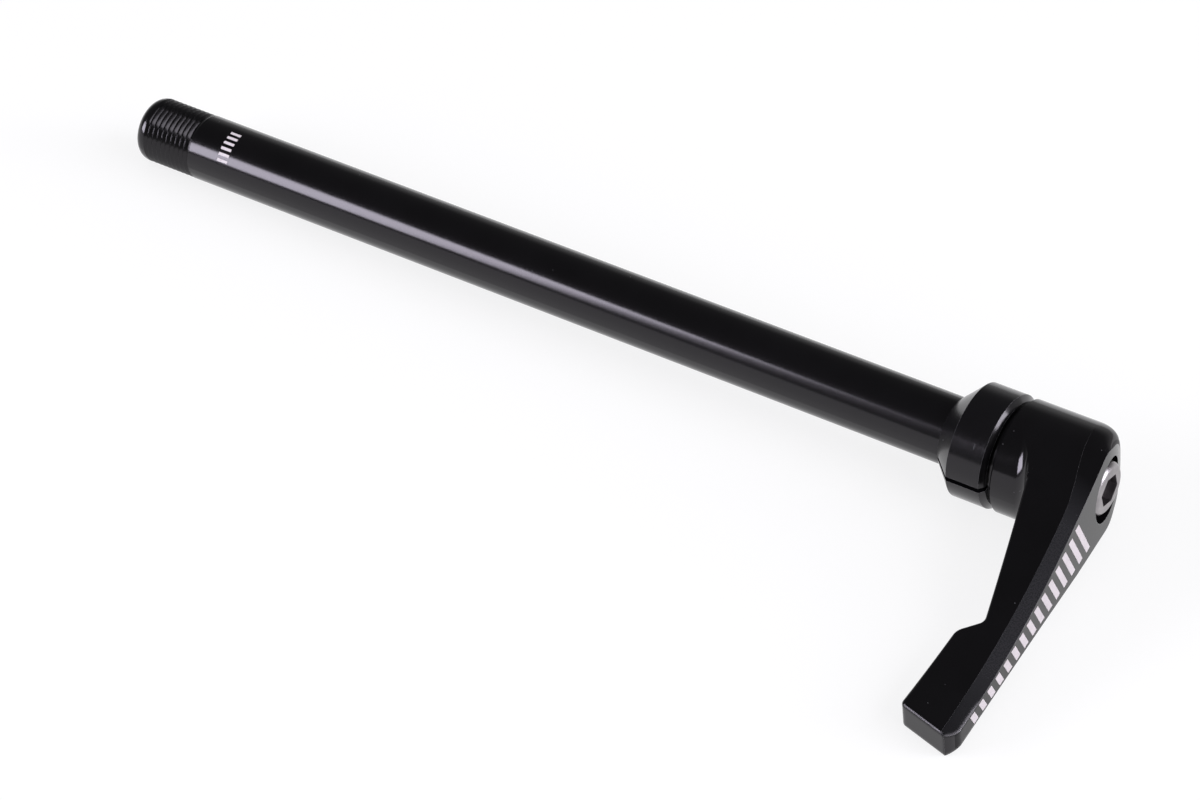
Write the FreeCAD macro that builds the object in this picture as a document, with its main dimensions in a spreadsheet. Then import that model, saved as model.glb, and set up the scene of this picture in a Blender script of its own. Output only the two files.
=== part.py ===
import FreeCAD, Part
import math
import os
import Sketcher

# Rear thru axle, lying as it comes to rest: +Y runs along the axle from the threaded tip to the lever,
# the lever points towards +X and droops until its lower side is level with the collar's underside.
# The origin is on the axle's axis, in the plane of the collar's front edge.

DRIVING_SIZES = [
    # shaft
    ("shaft_dia", 12.0),
    ("axle_reach", 171.2),
    ("thread_len", 12.4),
    ("thread_drop", 0.05),
    ("relief_len", 0.8),
    ("relief_drop", 0.6),
    ("nose_len", 2.0),
    ("nose_inset", 1.4),
    ("nose_round", 2.2),
    ("bore_dia", 7.0),
    ("bore_depth", 150.0),
    ("drill_cone_len", 2.1),
    # collar and the groove that holds it
    ("collar_dia", 20.2),
    ("collar_len", 6.15),
    ("collar_cone_len", 3.7),
    ("collar_lip", 0.3),
    ("rear_chamfer_len", 0.8),
    ("rear_chamfer_drop", 0.95),
    ("slit_width", 1.0),
    ("slit_turn", 7.5),
    ("groove_depth", 0.3),
    ("running_gap", 0.05),
    ("end_play", 0.05),
    # thrust flange and serrated boss
    ("flange_dia", 17.0),
    ("flange_len", 1.0),
    ("boss_dia", 13.0),
    ("boss_len", 6.0),
    ("tooth_count", 24),
    ("tooth_depth", 0.6),
    ("socket_gap", 0.05),
    # bolt
    ("bolt_dia", 6.0),
    ("bolt_len", 20.0),
    ("bolt_head_dia", 9.6),
    ("bolt_head_height", 4.5),
    ("bolt_rim_round", 1.2),
    ("hex_flats", 5.0),
    ("hex_depth", 2.8),
    ("bolt_point", 0.6),
    ("bolt_turn", 47.5),
    ("bolt_hole_gap", 0.2),
    ("tapped_gap", 0.02),
    ("tapped_spare", 2.0),
    # lever, heights measured along the axle from the lever's seat on the flange
    ("lever_droop", 7.5),
    ("head_dia", 20.1),
    ("lever_reach", 57.7),
    ("end_lean", 2.6),
    ("end_height", 20.0),
    ("outer_tip_height", 21.5),
    ("outer_bow", 543.0),
    ("crown_height", 16.95),
    ("crown_bow", 40.0),
    ("end_facet_run", 2.6),
    ("end_facet_bow", 4.0),
    ("neck_root_height", 4.8),
    ("waist_height", 14.45),
    ("pad_len", 17.1),
    ("pad_height", 11.2),
    ("pad_rise", -0.45),
    ("step_run", 3.5),
    ("tip_half_width", 2.7),
    ("straight_len", 4.3),
    ("waist_round", 1.6),
    ("pad_round", 2.6),
    ("pad_corner_round", 1.0),
    ("root_round", 1.2),
    ("edge_round", 0.5),
    ("bevel_across", 0.95),
    ("bevel_down", 2.25),
    ("head_rim_bevel", 0.35),
    ("recess_floor_height", 12.7),
    ("recess_dia", 11.5),
    ("socket_spare", 0.2),
    # how far a cutting outline reaches past what it cuts
    ("overcut", 2.0),
]

DERIVED_SIZES = [
    ("shaft_r", "=shaft_dia / 2"),
    ("thread_r", "=shaft_r - thread_drop"),
    ("tip_y", "=-axle_reach"),
    ("nose_r", "=thread_r - nose_inset"),
    ("nose_y", "=tip_y + nose_len"),
    ("thread_end_y", "=tip_y + thread_len"),
    ("relief_y", "=thread_end_y - relief_len"),
    ("relief_r", "=shaft_r - relief_drop"),
    ("bore_r", "=bore_dia / 2"),
    ("bore_end_y", "=tip_y + bore_depth"),
    ("bore_point_y", "=bore_end_y + drill_cone_len"),
    ("groove_r", "=shaft_r - groove_depth"),
    ("groove_start_y", "=collar_front_y - end_play"),
    ("collar_r", "=collar_dia / 2"),
    ("collar_bore_r", "=groove_r + running_gap"),
    ("collar_lip_r", "=shaft_r + collar_lip"),
    ("collar_front_y", "=-collar_cone_len"),
    ("collar_rear_y", "=collar_len + rear_chamfer_len"),
    ("collar_rear_r", "=collar_r - rear_chamfer_drop"),
    ("slit_in_r", "=collar_bore_r - overcut"),
    ("slit_out_r", "=collar_r + overcut"),
    ("slit_front_y", "=collar_front_y - overcut"),
    ("slit_rear_y", "=collar_rear_y + overcut"),
    ("flange_r", "=flange_dia / 2"),
    ("flange_y", "=collar_rear_y + end_play"),
    ("seat_y", "=flange_y + flange_len"),
    ("boss_r", "=boss_dia / 2"),
    ("boss_y", "=seat_y + boss_len"),
    ("tooth_root_r", "=boss_r - tooth_depth"),
    ("tooth_out_r", "=boss_r + overcut"),
    ("tooth_out_half", "=tooth_depth + overcut"),
    ("socket_r", "=boss_r + socket_gap"),
    ("socket_depth", "=boss_len + socket_spare"),
    ("rib_tip_r", "=tooth_root_r + 2 * socket_gap"),
    ("rib_base_r", "=socket_r + socket_gap"),
    ("rib_base_half", "=rib_base_r - rib_tip_r"),
    ("tapped_r", "=bolt_dia / 2 + tapped_gap"),
    ("tapped_end_y", "=bolt_end_y - tapped_spare"),
    ("recess_floor_y", "=seat_y + recess_floor_height"),
    ("recess_r", "=recess_dia / 2"),
    ("recess_depth", "=outer_tip_height - recess_floor_height + overcut"),
    ("recess_top_y", "=seat_y + outer_tip_height + overcut"),
    ("bolt_r", "=bolt_dia / 2"),
    ("bolt_hole_r", "=bolt_r + bolt_hole_gap"),
    ("bolt_end_y", "=recess_floor_y - bolt_len"),
    ("bolt_point_r", "=bolt_r - bolt_point"),
    ("bolt_point_y", "=bolt_end_y + bolt_point"),
    ("bolt_head_r", "=bolt_head_dia / 2"),
    ("bolt_rim_r", "=bolt_head_r - bolt_rim_round"),
    ("bolt_top_y", "=recess_floor_y + bolt_head_height"),
    ("bolt_rim_y", "=bolt_top_y - bolt_rim_round"),
    ("hex_half", "=hex_flats / 2"),
    ("hex_corner", "=hex_flats / 2 / cos(30)"),
    ("hex_corner_half", "=hex_corner / 2"),
    ("head_r", "=head_dia / 2"),
    ("blank_back", "=-head_r - overcut"),
    ("end_inner_y", "=seat_y + pad_height + pad_rise"),
    ("end_outer_r", "=lever_reach + end_lean"),
    ("end_outer_y", "=seat_y + end_height"),
    ("facet_r", "=end_outer_r - end_facet_run"),
    ("facet_y", "=seat_y + outer_tip_height"),
    ("crown_y", "=seat_y + crown_height"),
    ("face_rise", "=facet_y - crown_y"),
    ("face_chord", "=sqrt(facet_r^2 + face_rise^2)"),
    ("face_offset", "=sqrt(outer_bow^2 - face_chord^2 / 4)"),
    ("face_centre_r", "=facet_r / 2 + face_offset * face_rise / face_chord"),
    ("face_centre_y", "=(facet_y + crown_y) / 2 - face_offset * facet_r / face_chord"),
    ("crown_share", "=crown_bow / outer_bow"),
    ("crown_centre_r", "=face_centre_r * crown_share"),
    ("crown_centre_y", "=crown_y + (face_centre_y - crown_y) * crown_share"),
    ("outer_back_y", "=crown_centre_y + sqrt(crown_bow^2 - (blank_back - crown_centre_r)^2)"),
    ("pad_start_r", "=lever_reach - pad_len"),
    ("pad_start_y", "=seat_y + pad_height"),
    ("pad_slope", "=pad_rise / pad_len"),
    ("waist_r", "=pad_start_r - step_run"),
    ("waist_y", "=seat_y + waist_height"),
    ("neck_slope", "=(waist_height - neck_root_height) / waist_r"),
    ("neck_back_y", "=seat_y + neck_root_height + neck_slope * blank_back"),
    ("blank_far_r", "=end_outer_r + overcut"),
    ("slab_width", "=head_dia + 2 * overcut"),
    ("plan_cut_len", "=2 * (outer_tip_height + overcut)"),
    ("neck_angle", "=atan(neck_slope)"),
    ("blend_in_r", "=head_r - overcut"),
    ("blend_out_r", "=head_r + root_round * (1 - sin(neck_angle))"),
    ("blend_top_y", "=seat_y + neck_root_height + neck_slope * blend_out_r"),
    ("blend_low_y", "=blend_top_y - root_round * cos(neck_angle)"),
    ("frame_back", "=blank_back - overcut"),
    ("frame_far", "=blank_far_r + overcut"),
    ("head_fill_height", "=(neck_root_height + recess_floor_height) / 2"),
    ("sides_end_r", "=end_outer_r - straight_len"),
    ("side_bow", "=(sides_end_r^2 + tip_half_width^2 - head_r^2) / (2 * (head_r - tip_half_width))"),
    ("side_share", "=head_r / (head_r + side_bow)"),
    ("tangent_r", "=sides_end_r * side_share"),
    ("tangent_half", "=(tip_half_width + side_bow) * side_share"),
]

doc = FreeCAD.newDocument("rear_thru_axle")
sheet = doc.addObject("Spreadsheet::Sheet", "sizes")
ALL_SIZES = DRIVING_SIZES + DERIVED_SIZES
for row, (alias, content) in enumerate(ALL_SIZES, start=1):
    sheet.set("A%d" % row, alias)
    sheet.setAlias("B%d" % row, alias)
for alias, content in ALL_SIZES:
    sheet.set(alias, str(content))
doc.recompute()


def size(name):
    """Value of a named size; a leading minus sign takes the opposite value."""
    if name.startswith("-"):
        return -float(sheet.get(name[1:]))
    return float(sheet.get(name))


def bound(name):
    """Expression that follows a named size."""
    if name.startswith("-"):
        return "-sizes." + name[1:]
    return "sizes." + name


def new_body(label, turn=None):
    """Body for one piece, turned about the axle by a named angle."""
    body = doc.addObject("PartDesign::Body", label)
    body.Label = label
    if turn:
        about_axle = FreeCAD.Rotation(FreeCAD.Vector(0, 1, 0), size(turn))
        body.Placement = FreeCAD.Placement(FreeCAD.Vector(), about_axle)
        body.setExpression("Placement.Rotation.Angle", bound(turn))
    return body


def new_sketch(body, role, label, height=None):
    """Sketch on one of the body's origin planes; height lifts it along its normal by a named size."""
    sketch = body.newObject("Sketcher::SketchObject", label)
    plane = [item for item in body.Origin.OriginFeatures if item.Role == role][0]
    sketch.AttachmentSupport = [(plane, "")]
    sketch.MapMode = "FlatFace"
    if height:
        sketch.setExpression("AttachmentOffset.Base.z", bound(height))
    return sketch


def fix_point(sketch, geometry, end, x_name, y_name):
    """Ties a point to named distances from the sketch's origin; None puts it on the axis."""
    for kind, axis, name in (("DistanceX", -2, x_name), ("DistanceY", -1, y_name)):
        if name is None:
            sketch.addConstraint(Sketcher.Constraint("PointOnObject", geometry, end, axis))
        else:
            index = sketch.addConstraint(Sketcher.Constraint(kind, -1, 1, geometry, end, size(name)))
            sketch.setExpression("Constraints[%d]" % index, bound(name))


def outline(sketch, corners):
    """Closed outline of (x, y) corners; (x, y, radius, side) makes the edge that leaves it an arc.

    Side +1 bulges the arc to the left of its way to the next corner, -1 to the right.
    """
    count = len(corners)
    points = [FreeCAD.Vector(size(x) if x else 0, size(y) if y else 0, 0) for x, y, *_ in corners]
    first = sketch.GeometryCount
    starts = []
    for index, (x, y, *bend) in enumerate(corners):
        here = points[index]
        after = points[(index + 1) % count]
        if bend:
            sketch.addGeometry(arc_between(here, after, size(bend[0]), bend[1]))
        else:
            sketch.addGeometry(Part.LineSegment(here, after))
        starts.append(2 if bend and bend[1] > 0 else 1)
    for index, (x, y, *bend) in enumerate(corners):
        follower = (index + 1) % count
        sketch.addConstraint(Sketcher.Constraint(
            "Coincident", first + index, 3 - starts[index], first + follower, starts[follower]))
        fix_point(sketch, first + index, starts[index], x, y)
        if bend:
            radius = sketch.addConstraint(Sketcher.Constraint("Radius", first + index, size(bend[0])))
            sketch.setExpression("Constraints[%d]" % radius, bound(bend[0]))


def arc_between(start, end, radius, side):
    """Arc of less than half a turn between two points, bulging left (+1) or right (-1) of the way."""
    chord = end - start
    left = FreeCAD.Vector(-chord.y, chord.x, 0).normalize()
    centre = (start + end) / 2 - left * side * math.sqrt(radius ** 2 - (chord.Length / 2) ** 2)
    angles = [math.atan2(point.y - centre.y, point.x - centre.x) for point in (start, end)]
    if side > 0:
        angles.reverse()
    if angles[1] < angles[0]:
        angles[1] += 2 * math.pi
    circle = Part.Circle(centre, FreeCAD.Vector(0, 0, 1), radius)
    return Part.ArcOfCircle(circle, angles[0], angles[1])


def ring(sketch, radius):
    """Circle about the sketch's origin."""
    geometry = sketch.addGeometry(Part.Circle(FreeCAD.Vector(), FreeCAD.Vector(0, 0, 1), size(radius)))
    sketch.addConstraint(Sketcher.Constraint("Coincident", geometry, 3, -1, 1))
    index = sketch.addConstraint(Sketcher.Constraint("Radius", geometry, size(radius)))
    sketch.setExpression("Constraints[%d]" % index, bound(radius))


def revolve(body, sketch, label):
    """Turns a sketch about its vertical axis, the axle's own."""
    feature = body.newObject("PartDesign::Revolution", label)
    feature.Profile = sketch
    feature.ReferenceAxis = (sketch, ["V_Axis"])
    doc.recompute()
    return feature


def extrude(body, kind, sketch, label, length, reverse=False, both_sides=False):
    """Pad or Pocket of a sketch by a named length; it has to change the body's volume."""
    before = body.Shape.Volume if not body.Shape.isNull() else 0
    feature = body.newObject("PartDesign::" + kind, label)
    feature.Profile = sketch
    feature.Reversed = reverse
    if both_sides:
        feature.SideType = "Symmetric"
    feature.setExpression("Length", bound(length))
    doc.recompute()
    if abs(body.Shape.Volume - before) < VOLUME_FLOOR:
        raise ValueError(label + " changes nothing")
    return feature


def around_axle(body, feature, sketch, label):
    """Repeats a feature evenly round the axle, once for each tooth."""
    pattern = body.newObject("PartDesign::PolarPattern", label)
    pattern.Originals = [feature]
    pattern.Axis = (sketch, ["N_Axis"])
    pattern.Angle = 360
    pattern.setExpression("Occurrences", bound("tooth_count"))
    body.Tip = pattern
    doc.recompute()
    return pattern


def edges_where(body, test):
    """Names of the body's edges whose ends and middle all pass a test."""
    local = body.Tip.Shape
    names = []
    for number, edge in enumerate(local.Edges, start=1):
        first, last = edge.ParameterRange
        points = [edge.valueAt(first + (last - first) * share) for share in (0.0, 0.25, 0.5, 0.75, 1.0)]
        if all(test(point) for point in points):
            names.append("Edge%d" % number)
    if not names:
        raise ValueError("no edge found on " + body.Label)
    return names


def soften(body, label, radius, test):
    """Rounds the edges that pass a test by a named radius."""
    base = body.Tip
    names = edges_where(body, test)
    fillet = body.newObject("PartDesign::Fillet", label)
    fillet.Base = (base, names)
    fillet.setExpression("Radius", bound(radius))
    doc.recompute()
    return fillet


def bevel(body, label, names, down, across=None):
    """Flat bevel on named edges: one named distance both ways, or one down the sides and one across."""
    base = body.Tip
    chamfer = body.newObject("PartDesign::Chamfer", label)
    chamfer.Base = (base, names)
    chamfer.setExpression("Size", bound(down))
    if across:
        chamfer.ChamferType = "Two distances"
        chamfer.setExpression("Size2", bound(across))
    doc.recompute()
    return chamfer


VOLUME_FLOOR = 0.01
NEAR = 0.01


def close(value, target):
    return abs(value - target) < NEAR


# Shaft: turned in one profile, with the bore from the threaded end and the tapped hole from the boss
axle_shaft = new_body("axle_shaft", "lever_droop")
shaft_section = new_sketch(axle_shaft, "XY_Plane", "shaft_section")
outline(shaft_section, [
    ("bore_r", "tip_y"),
    ("nose_r", "tip_y", "nose_round", -1),
    ("thread_r", "nose_y"),
    ("thread_r", "relief_y"),
    ("relief_r", "relief_y"),
    ("relief_r", "thread_end_y"),
    ("shaft_r", "thread_end_y"),
    ("shaft_r", "groove_start_y"),
    ("groove_r", "groove_start_y"),
    ("groove_r", "flange_y"),
    ("flange_r", "flange_y"),
    ("flange_r", "seat_y"),
    ("boss_r", "seat_y"),
    ("boss_r", "boss_y"),
    ("tapped_r", "boss_y"),
    ("tapped_r", "tapped_end_y"),
    (None, "tapped_end_y"),
    (None, "bore_point_y"),
    ("bore_r", "bore_end_y"),
])
revolve(axle_shaft, shaft_section, "shaft_turning")

# Serrations: one notch along the boss, repeated round it
notch_section = new_sketch(axle_shaft, "XZ_Plane", "notch_section", "-boss_y")
outline(notch_section, [
    ("tooth_root_r", None),
    ("tooth_out_r", "tooth_out_half"),
    ("tooth_out_r", "-tooth_out_half"),
])
notch = extrude(axle_shaft, "Pocket", notch_section, "notch", "boss_len", reverse=True)
around_axle(axle_shaft, notch, notch_section, "serrations")

# Collar: turned to sit in the shaft's groove, then slit along one side so that it springs into it
split_collar = new_body("split_collar", "slit_turn")
collar_section = new_sketch(split_collar, "XY_Plane", "collar_section")
outline(collar_section, [
    ("collar_bore_r", "collar_front_y"),
    ("collar_lip_r", "collar_front_y"),
    ("collar_r", None),
    ("collar_r", "collar_len"),
    ("collar_rear_r", "collar_rear_y"),
    ("collar_bore_r", "collar_rear_y"),
])
revolve(split_collar, collar_section, "collar_turning")
slit_section = new_sketch(split_collar, "XY_Plane", "slit_section")
outline(slit_section, [
    ("slit_in_r", "slit_front_y"),
    ("slit_out_r", "slit_front_y"),
    ("slit_out_r", "slit_rear_y"),
    ("slit_in_r", "slit_rear_y"),
])
extrude(split_collar, "Pocket", slit_section, "slit", "slit_width", both_sides=True)

# Lever slab: the side view with its bowed outer face, leaning end, thick finger pad and thin neck
lever = new_body("lever", "lever_droop")
side_view = new_sketch(lever, "XY_Plane", "lever_side_view")
outline(side_view, [
    ("blank_back", "neck_back_y"),
    ("waist_r", "waist_y"),
    ("pad_start_r", "pad_start_y"),
    ("lever_reach", "end_inner_y"),
    ("end_outer_r", "end_outer_y", "end_facet_bow", -1),
    ("facet_r", "facet_y", "outer_bow", -1),
    (None, "crown_y", "crown_bow", -1),
    ("blank_back", "outer_back_y"),
])
extrude(lever, "Pad", side_view, "slab", "slab_width", both_sides=True)
for label, radius, x_name, y_name in (
        ("waist_blend", "waist_round", "waist_r", "waist_y"),
        ("pad_blend", "pad_round", "pad_start_r", "pad_start_y"),
        ("tip_blend", "pad_corner_round", "lever_reach", "end_inner_y")):
    soften(lever, label, radius, lambda p: close(p.x, size(x_name)) and close(p.y, size(y_name)))

# Hollow blend round the head, where the arm leaves it
blend_section = new_sketch(lever, "XY_Plane", "root_blend_section")
outline(blend_section, [
    ("blend_in_r", "blend_low_y"),
    ("head_r", "blend_low_y", "root_round", 1),
    ("blend_out_r", "blend_top_y"),
    ("blend_in_r", "blend_top_y"),
])
revolve(lever, blend_section, "root_blend")

# Plan: round head with tangent, hollow sides that narrow to the tip; what lies outside is cut away
plan = new_sketch(lever, "XZ_Plane", "lever_plan", "-seat_y")
outline(plan, [
    ("frame_back", "-slab_width"),
    ("frame_far", "-slab_width"),
    ("frame_far", "slab_width"),
    ("frame_back", "slab_width"),
])
outline(plan, [
    ("tangent_r", "tangent_half", "head_r", -1),
    ("-head_r", None, "head_r", -1),
    ("tangent_r", "-tangent_half", "side_bow", 1),
    ("sides_end_r", "-tip_half_width"),
    ("blank_far_r", "-tip_half_width"),
    ("blank_far_r", "tip_half_width"),
    ("sides_end_r", "tip_half_width", "side_bow", 1),
])
extrude(lever, "Pocket", plan, "plan_cut", "plan_cut_len", both_sides=True)

# Round head below the arm
head_plan = new_sketch(lever, "XZ_Plane", "head_plan", "-seat_y")
ring(head_plan, "head_r")
extrude(lever, "Pad", head_plan, "head", "head_fill_height", reverse=True)

# Small bevel on the head's front rim, and a wide one along both sides and round the back of the outer face
bevel(lever, "head_rim", edges_where(lever, lambda p: close(p.y, size("seat_y"))), "head_rim_bevel")


def on_outer_face(point):
    from_face = math.hypot(point.x - size("face_centre_r"), point.y - size("face_centre_y"))
    from_crown = math.hypot(point.x - size("crown_centre_r"), point.y - size("crown_centre_y"))
    return close(from_face, size("outer_bow")) or close(from_crown, size("crown_bow"))


facet_line = edges_where(lever, lambda p: close(p.x, size("facet_r")) and close(p.y, size("facet_y")))
crown_line = edges_where(lever, lambda p: close(p.x, 0) and close(p.y, size("crown_y")))
bevelled = set(edges_where(lever, on_outer_face)) - set(facet_line + crown_line)
bevel(lever, "outer_bevel", sorted(bevelled), "bevel_down", "bevel_across")

# Soft edges on the side that faces the frame; the rounding runs on along the neck and round the end


def on_pad_edge(point):
    pad_y = size("pad_start_y") + size("pad_slope") * (point.x - size("pad_start_r"))
    return close(point.y, pad_y) and abs(point.z) > size("tip_half_width") / 2


soften(lever, "inner_edges", "edge_round", on_pad_edge)

# Bolt recess, bolt hole and serrated socket
recess_plan = new_sketch(lever, "XZ_Plane", "recess_plan", "-recess_top_y")
ring(recess_plan, "recess_r")
extrude(lever, "Pocket", recess_plan, "recess", "recess_depth", reverse=True)
hole_plan = new_sketch(lever, "XZ_Plane", "hole_plan", "-seat_y")
ring(hole_plan, "bolt_hole_r")
extrude(lever, "Pocket", hole_plan, "bolt_hole", "outer_tip_height")
socket_plan = new_sketch(lever, "XZ_Plane", "socket_plan", "-seat_y")
ring(socket_plan, "socket_r")
extrude(lever, "Pocket", socket_plan, "socket", "socket_depth")
rib_plan = new_sketch(lever, "XZ_Plane", "rib_plan", "-seat_y")
outline(rib_plan, [
    ("rib_tip_r", None),
    ("rib_base_r", "rib_base_half"),
    ("rib_base_r", "-rib_base_half"),
])
rib = extrude(lever, "Pad", rib_plan, "rib", "socket_depth", reverse=True)
around_axle(lever, rib, rib_plan, "socket_ribs")

# Bolt: turned screw with a rounded rim and a hexagon socket
lever_bolt = new_body("lever_bolt", "bolt_turn")
bolt_section = new_sketch(lever_bolt, "XY_Plane", "bolt_section")
outline(bolt_section, [
    (None, "bolt_end_y"),
    ("bolt_point_r", "bolt_end_y"),
    ("bolt_r", "bolt_point_y"),
    ("bolt_r", "recess_floor_y"),
    ("bolt_head_r", "recess_floor_y"),
    ("bolt_head_r", "bolt_rim_y", "bolt_rim_round", -1),
    ("bolt_rim_r", "bolt_top_y"),
    (None, "bolt_top_y"),
])
revolve(lever_bolt, bolt_section, "bolt_turning")
hex_plan = new_sketch(lever_bolt, "XZ_Plane", "hex_plan", "-bolt_top_y")
outline(hex_plan, [
    ("hex_corner", None),
    ("hex_corner_half", "hex_half"),
    ("-hex_corner_half", "hex_half"),
    ("-hex_corner", None),
    ("-hex_corner_half", "-hex_half"),
    ("hex_corner_half", "-hex_half"),
])
extrude(lever_bolt, "Pocket", hex_plan, "hex_socket", "hex_depth", reverse=True)

doc.recompute()
for item in doc.Objects:
    if "Invalid" in item.State or "Error" in item.State:
        raise ValueError(item.Label + " did not build")

PIECES = (axle_shaft, split_collar, lever, lever_bolt)
for piece in PIECES:
    if piece.Shape.isNull() or not piece.Shape.isValid() or len(piece.Shape.Solids) != 1:
        raise ValueError(piece.Label + " is not one sound solid")

os.makedirs("parts", exist_ok=True)
for piece in PIECES:
    piece.Shape.exportStep(os.path.join("parts", piece.Label + ".step"))
    print(piece.Label, round(piece.Shape.Volume, 1))
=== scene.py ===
"""Looks of the rear thru axle: its finishes, cut thread, printed marks, light and camera."""

import math

import bmesh
import bpy
from mathutils import Matrix, Vector
from mathutils.bvhtree import BVHTree

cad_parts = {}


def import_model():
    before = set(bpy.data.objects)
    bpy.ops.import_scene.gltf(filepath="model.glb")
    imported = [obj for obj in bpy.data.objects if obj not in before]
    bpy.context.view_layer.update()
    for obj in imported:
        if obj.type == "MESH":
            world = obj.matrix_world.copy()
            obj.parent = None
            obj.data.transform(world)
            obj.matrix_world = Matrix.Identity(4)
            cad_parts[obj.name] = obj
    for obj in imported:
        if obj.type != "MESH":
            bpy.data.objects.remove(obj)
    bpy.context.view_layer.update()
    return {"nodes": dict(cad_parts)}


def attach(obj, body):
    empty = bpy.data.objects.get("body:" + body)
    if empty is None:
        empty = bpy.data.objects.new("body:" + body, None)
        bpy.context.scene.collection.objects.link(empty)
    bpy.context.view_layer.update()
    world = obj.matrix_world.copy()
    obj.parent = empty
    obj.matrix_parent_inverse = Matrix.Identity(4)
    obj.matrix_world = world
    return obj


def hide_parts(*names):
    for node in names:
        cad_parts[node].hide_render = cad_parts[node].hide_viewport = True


MM = 0.001
# Slack in mm where places on the CAD model are compared
PLACE_SLACK = 0.01
# Vertices nearer than this, in metres, are one
SAME_PLACE = 1e-7

# Thread on the tip and the relief groove that it runs over, in mm along the axle
THREAD_START = -169.2
THREAD_END = -158.8
THREAD_PITCH = 1.0
THREAD_CREST = 5.95
RELIEF_RADIUS = 5.4
THREAD_DEPTH = 0.5
THREAD_FADE = 0.4
THREAD_COLUMNS = 96
# One pitch of the thread: share of the pitch, share of the depth
THREAD_PROFILE = [
    (0.00, 0.03),
    (0.03, 0.00),
    (0.06, 0.03),
    (0.47, 0.93),
    (0.52, 1.00),
    (0.58, 1.00),
    (0.63, 0.93),
]

# The lever's own axes: along it, across it and out of its face
LEVER_DROOP = math.radians(7.5)
LEVER_ALONG = Vector((math.cos(LEVER_DROOP), 0.0, -math.sin(LEVER_DROOP)))
LEVER_ACROSS = Vector((math.sin(LEVER_DROOP), 0.0, math.cos(LEVER_DROOP)))
OUTWARDS = Vector((0.0, 1.0, 0.0))

# Hollow sides of the lever's arm in plan, in mm
PLAN_CENTRE = (56.0, 209.7)
PLAN_RADIUS = 207.0
ARM_ANGLE_STEPS = 40

# Bevel round the lever's outer face, across and down in mm, and its lean towards +Y
FACE_BEVEL = 0.95
BEVEL_DOWN = 2.25
BEVEL_LEAN = (0.30, 0.50)
BEVEL_INSET_MOST = 1.1
BEVEL_DOWN_MOST = 3.0

# Hollow blend where the arm leaves the lever's head, in mm
HEAD_RADIUS = 10.05
NECK_HEIGHT = 12.8
NECK_SLOPE = 0.26
ROOT_ROUND = 3.2
ROOT_STEPS = 10
ROOT_COLUMNS = 40
ROOT_PASSES = 6
ROOT_DEPTH = 0.6
ROOT_INSET = 1.0015

# Bowed outer face of the lever in side view, and the smaller bow over its head, in mm
FACE_CENTRE = (71.4, -513.336)
FACE_RADIUS = 543.0
CROWN_CENTRE = (5.26, -14.70)
CROWN_RADIUS = 40.0

# Rounding of the head's outer rim, which fades into the plain bevel along the arm, in mm
RIM_ACROSS = 2.4
RIM_DOWN = 3.7
RIM_INNER = 3.9
RIM_SLACK = 0.03
RIM_FADE = (0.0, 14.0)
RIM_JOIN = (13.0, 14.0)
RIM_SPARE = 4.0
RIM_CUTS = 2
ROUND_FADE = (-5.0, 1.0)
ON_SURFACE = 0.02
BESIDE_RIM = 0.2

# Thickness of the print above and below the surface, in mm
PRINT_HEIGHT = 0.02
PRINT_DEPTH = 0.04

# Printed bars on the lever's outer face, in mm from the axis along the lever
BAR_FIRST = 11.5
BAR_LAST = 53.0
BAR_COUNT = 15
BAR_WIDTH_SHARE = 0.5
BAR_SLANT = 0.45
BAR_SPAN_SHARE = 0.74
BAR_ROWS = 8
BAR_COLUMNS = 2
RAY_START = 0.1

# Printed ticks round the shaft beside the thread, in mm and degrees above the side
SHAFT_RADIUS = 6.0
TICK_FIRST_ANGLE = 30.0
TICK_LAST_ANGLE = 84.0
TICK_COUNT = 6
TICK_ANGLE = 5.0
TICK_Y = (-152.6, -150.4)
TICK_COLUMNS = 4

# Where the shaft's grain sets in beside the thread, in mm along the axle
SHAFT_GRAIN_START = (-159.6, -158.8)

# Finish along the lever, in mm from the axis: its bevels turn grainy and lighter, partly by painted
# reflection, and fade, and its tip softens
BEVEL_NEAR = (7.0, 16.0)
BEVEL_FAR = (44.0, 58.0)
BEVEL_FAR_SHARE = 0.45
TIP_SOFT = (50.0, 53.0)
TIP_ROUND = 0.9

# One short scratch on the collar, in mm
COLLAR_SCRATCH = (8.17, 4.1, 5.94)
COLLAR_SCRATCH_SIZE = (0.6, 0.14, 0.7)

# Black anodised finish: scales of its patterns, colours of its marks, and its gloss
CLOUD_SCALE = 90.0
DUST_SCALE = 900.0
DUST_SIZE = 0.11
DUST_COLOUR = (0.07, 0.07, 0.075)
DUST_ROUGHNESS = 0.2
SPARKLE_SCALE = 5600.0
SPARKLE_DEPTH = 8.0
# Lighter colour of the bevels: partly their grainy tone, partly a painted reflection
BEVEL_TONE_AND_REFLECTION_COLOUR = (0.016, 0.016, 0.018)
BEVEL_ROUGHNESS = 0.16
# Pale colour painted in patches along sharp edges, as a painted edge highlight
EDGE_HIGHLIGHT_COLOUR = (0.20, 0.195, 0.205)
SCRATCH_COLOUR = (0.035, 0.034, 0.037)
ANODISED_IOR = 1.45
ANODISED_TINT = (0.98, 0.94, 1.0, 1.0)
SIDE_SPECULAR = 0.5
FACE_SPECULAR = 0.17
FACE_LEAN = (0.9, 1.1)
# The painted edge highlight goes only on faces that lean towards +Y by a share in this range
EDGE_HIGHLIGHT_LEAN = (0.2, 1.1)

# Colours of the steel, the print and the floor
STEEL_DARK = (0.26, 0.245, 0.255)
STEEL_PALE = (0.36, 0.34, 0.35)
PRINT_DARK = (0.58, 0.53, 0.55)
PRINT_PALE = (0.74, 0.68, 0.71)
PRINT_WORN = (0.20, 0.19, 0.20)
FLOOR_DARK = (0.195, 0.195, 0.2)
FLOOR_PALE = (0.205, 0.205, 0.205)

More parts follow.
